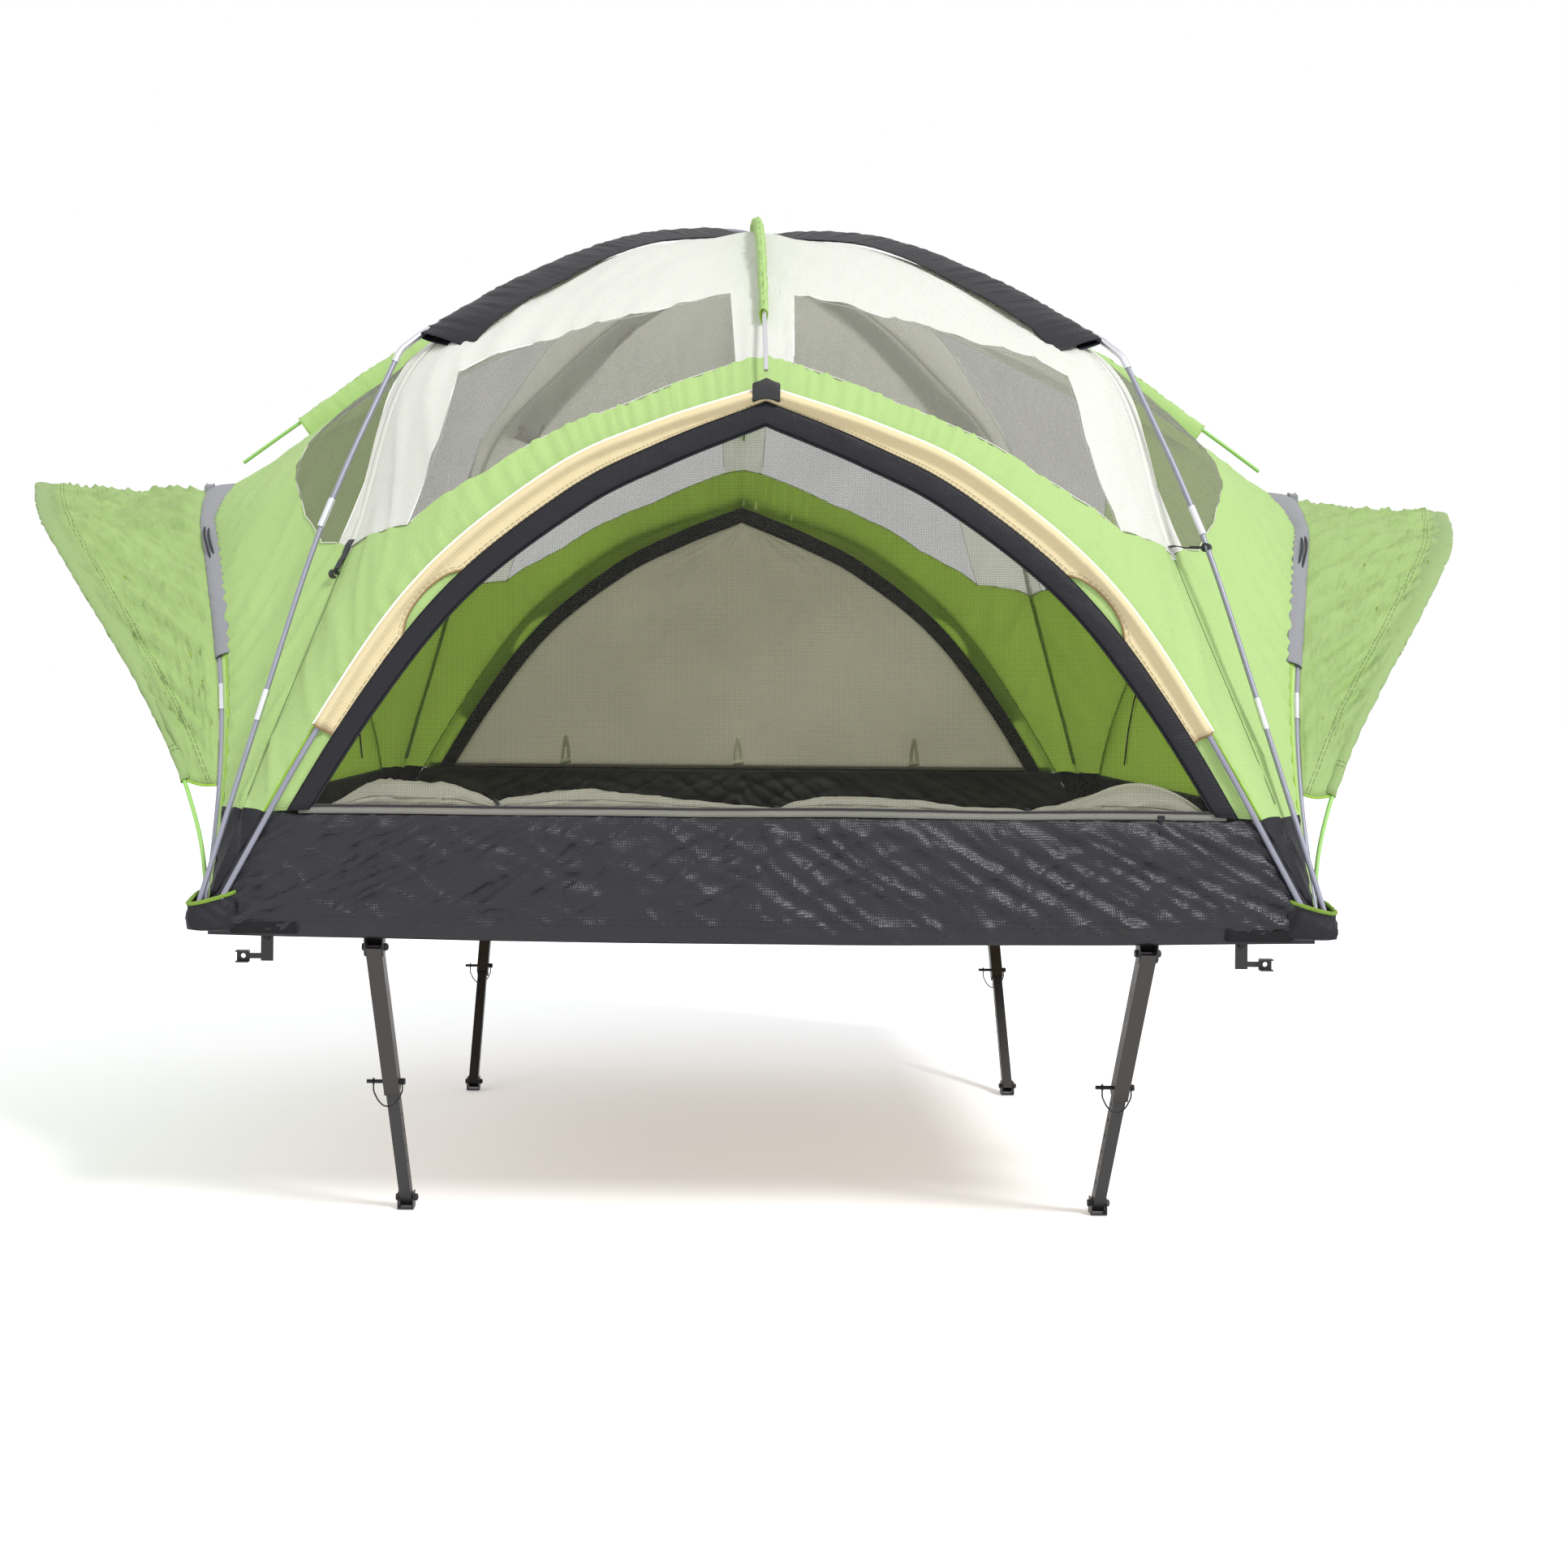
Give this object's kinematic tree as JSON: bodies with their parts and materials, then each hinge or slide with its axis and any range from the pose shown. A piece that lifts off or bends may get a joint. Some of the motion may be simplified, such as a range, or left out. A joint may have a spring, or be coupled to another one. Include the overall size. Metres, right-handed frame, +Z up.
{
  "type": "trailer screen house",
  "caption": "Pop-up screen tent on a folding deck for a utility trailer, with mesh roof and door, end awnings and telescoping side braces.",
  "frame": {"origin": "centre of the deck's underside, where it rests on the trailer's box", "axes": "+X along the trailer towards its hitch, -Y to the screen door, +Z up"},
  "size_m": [3.5326, 2.2396, 2.2991],
  "materials": {
    "deck_ply": "sealed plywood",
    "deck_steel": "satin black",
    "zinc": "zinc plated",
    "bracket_black": "black powder coat",
    "brace_brown": "satin brown black",
    "pole_grey": "woven fibreglass",
    "pole_green": "green fibreglass",
    "fitting_silver": "satin",
    "black_plastic": "matt",
    "black_cloth": "woven nylon",
    "green_cloth": "ripstop polyester",
    "screen_mesh": "insect mesh",
    "door_cloth": "woven polyester",
    "floor_cloth": "coated polyester",
    "zip_metal": "nickel"
  },
  "bodies": {
    "tent_and_deck": {"centre_deck_panel": "deck_ply", "wing_panels": "deck_ply", "centre_deck_rails": "deck_steel", "wing_rails": "deck_steel", "wing_hinges": "zinc", "wing_hinge_pins": "zinc", "brace_clevises": "deck_steel", "deck_bolts": "zinc", "mounting_brackets": "bracket_black", "diagonal_pole_a": "pole_grey", "diagonal_pole_b": "pole_grey", "near_door_arch_pole": "pole_grey", "far_door_arch_pole": "pole_grey", "left_end_hoop": "pole_grey", "right_end_hoop": "pole_grey", "pole_fittings": "fitting_silver", "long_ridge_pole": "pole_green", "cross_ridge_pole": "pole_green", "arch_caps": "black_plastic", "corner_pockets": "black_cloth", "near_canopy_panel": "green_cloth", "far_canopy_panel": "green_cloth", "left_canopy_panel": "green_cloth", "right_canopy_panel": "green_cloth", "near_wall": "green_cloth", "screen_door": "screen_mesh", "far_wall": "green_cloth", "far_door_panel": "door_cloth", "left_end_wall": "green_cloth", "right_end_wall": "green_cloth", "skirt": "black_cloth", "tent_floor": "floor_cloth", "hooked_pole_clips": "black_plastic", "rolled_door": "door_cloth"},
    "near_left_brace_outer": {"near_left_brace_outer_tube": "brace_brown"},
    "near_left_brace_inner": {"near_left_brace_inner_tube": "brace_brown"},
    "near_left_foot": {"near_left_brace_foot": "bracket_black"},
    "near_left_pin": {"near_left_lock_pin": "bracket_black"},
    "near_left_bail": {"near_left_lock_pin_bail": "bracket_black"},
    "near_right_brace_outer": {"near_right_brace_outer_tube": "brace_brown"},
    "near_right_brace_inner": {"near_right_brace_inner_tube": "brace_brown"},
    "near_right_foot": {"near_right_brace_foot": "bracket_black"},
    "near_right_pin": {"near_right_lock_pin": "bracket_black"},
    "near_right_bail": {"near_right_lock_pin_bail": "bracket_black"},
    "far_left_brace_outer": {"far_left_brace_outer_tube": "brace_brown"},
    "far_left_brace_inner": {"far_left_brace_inner_tube": "brace_brown"},
    "far_left_foot": {"far_left_brace_foot": "bracket_black"},
    "far_left_pin": {"far_left_lock_pin": "bracket_black"},
    "far_left_bail": {"far_left_lock_pin_bail": "bracket_black"},
    "far_right_brace_outer": {"far_right_brace_outer_tube": "brace_brown"},
    "far_right_brace_inner": {"far_right_brace_inner_tube": "brace_brown"},
    "far_right_foot": {"far_right_brace_foot": "bracket_black"},
    "far_right_pin": {"far_right_lock_pin": "bracket_black"},
    "far_right_bail": {"far_right_lock_pin_bail": "bracket_black"},
    "left_awning_frame": {"left_awning_hoop": "pole_green", "left_awning": "green_cloth"},
    "right_awning_frame": {"right_awning_hoop": "pole_green", "right_awning": "green_cloth"},
    "loose_clip": {"loose_pole_clip": "black_plastic"},
    "sill_slider": {"sill_zip_slider": "zip_metal"}
  },
  "joints": [
    {"name": "near_left_brace_pivot", "type": "hinge", "parent": "tent_and_deck", "child": "near_left_brace_outer", "pos_m": [-0.757, -1.08, -0.024], "axis": [1, 0, 0], "range_deg": [-36, 45]},
    {"name": "near_left_brace_extension", "type": "slide", "parent": "near_left_brace_outer", "child": "near_left_brace_inner", "axis": [0, -0.5947, 0.804], "range_m": [0, 0.3]},
    {"name": "near_left_foot_pivot", "type": "hinge", "parent": "near_left_brace_inner", "child": "near_left_foot", "pos_m": [-0.757, -0.631, -0.631], "axis": [1, 0, 0], "range_deg": [-30, 30]},
    {"name": "near_left_lock_pin_play", "type": "slide", "parent": "near_left_brace_outer", "child": "near_left_pin", "axis": [1, 0, 0], "range_m": [0, 0.012]},
    {"name": "near_left_bail_swing", "type": "hinge", "parent": "near_left_pin", "child": "near_left_bail", "pos_m": [-0.757, -0.85076, -0.33391], "axis": [-1, 0, 0], "range_deg": [0, 90]},
    {"name": "near_right_brace_pivot", "type": "hinge", "parent": "tent_and_deck", "child": "near_right_brace_outer", "pos_m": [0.757, -1.08, -0.024], "axis": [1, 0, 0], "range_deg": [-36, 45]},
    {"name": "near_right_brace_extension", "type": "slide", "parent": "near_right_brace_outer", "child": "near_right_brace_inner", "axis": [0, -0.5947, 0.804], "range_m": [0, 0.3]},
    {"name": "near_right_foot_pivot", "type": "hinge", "parent": "near_right_brace_inner", "child": "near_right_foot", "pos_m": [0.757, -0.631, -0.631], "axis": [1, 0, 0], "range_deg": [-30, 30]},
    {"name": "near_right_lock_pin_play", "type": "slide", "parent": "near_right_brace_outer", "child": "near_right_pin", "axis": [1, 0, 0], "range_m": [0, 0.012]},
    {"name": "near_right_bail_swing", "type": "hinge", "parent": "near_right_pin", "child": "near_right_bail", "pos_m": [0.757, -0.85076, -0.33391], "axis": [-1, 0, 0], "range_deg": [0, 90]},
    {"name": "far_left_brace_pivot", "type": "hinge", "parent": "tent_and_deck", "child": "far_left_brace_outer", "pos_m": [-0.757, 1.08, -0.024], "axis": [-1, 0, 0], "range_deg": [-36, 45]},
    {"name": "far_left_brace_extension", "type": "slide", "parent": "far_left_brace_outer", "child": "far_left_brace_inner", "axis": [0, 0.5947, 0.804], "range_m": [0, 0.3]},
    {"name": "far_left_foot_pivot", "type": "hinge", "parent": "far_left_brace_inner", "child": "far_left_foot", "pos_m": [-0.757, 0.631, -0.631], "axis": [-1, 0, 0], "range_deg": [-30, 30]},
    {"name": "far_left_lock_pin_play", "type": "slide", "parent": "far_left_brace_outer", "child": "far_left_pin", "axis": [1, 0, 0], "range_m": [0, 0.012]},
    {"name": "far_left_bail_swing", "type": "hinge", "parent": "far_left_pin", "child": "far_left_bail", "pos_m": [-0.757, 0.85076, -0.33391], "axis": [1, 0, 0], "range_deg": [0, 90]},
    {"name": "far_right_brace_pivot", "type": "hinge", "parent": "tent_and_deck", "child": "far_right_brace_outer", "pos_m": [0.757, 1.08, -0.024], "axis": [-1, 0, 0], "range_deg": [-36, 45]},
    {"name": "far_right_brace_extension", "type": "slide", "parent": "far_right_brace_outer", "child": "far_right_brace_inner", "axis": [0, 0.5947, 0.804], "range_m": [0, 0.3]},
    {"name": "far_right_foot_pivot", "type": "hinge", "parent": "far_right_brace_inner", "child": "far_right_foot", "pos_m": [0.757, 0.631, -0.631], "axis": [-1, 0, 0], "range_deg": [-30, 30]},
    {"name": "far_right_lock_pin_play", "type": "slide", "parent": "far_right_brace_outer", "child": "far_right_pin", "axis": [1, 0, 0], "range_m": [0, 0.012]},
    {"name": "far_right_bail_swing", "type": "hinge", "parent": "far_right_pin", "child": "far_right_bail", "pos_m": [0.757, 0.85076, -0.33391], "axis": [1, 0, 0], "range_deg": [0, 90]},
    {"name": "left_awning_swing", "type": "hinge", "parent": "tent_and_deck", "child": "left_awning_frame", "pos_m": [-1.0914, 0, 0.046], "axis": [0, 1, 0], "range_deg": [0, 12], "deforming": ["left_awning"]},
    {"name": "right_awning_swing", "type": "hinge", "parent": "tent_and_deck", "child": "right_awning_frame", "pos_m": [1.0914, 0, 0.046], "axis": [0, -1, 0], "range_deg": [0, 12], "deforming": ["right_awning"]},
    {"name": "loose_clip_swing", "type": "hinge", "parent": "tent_and_deck", "child": "loose_clip", "pos_m": [-0.84818, -0.86149, 0.79], "axis": [-0.7071, 0.7071, 0], "range_deg": [0, 35]},
    {"name": "sill_zip_run", "type": "slide", "parent": "tent_and_deck", "child": "sill_slider", "axis": [-1, 0, 0], "range_m": [0, 1.5]}
  ]
}
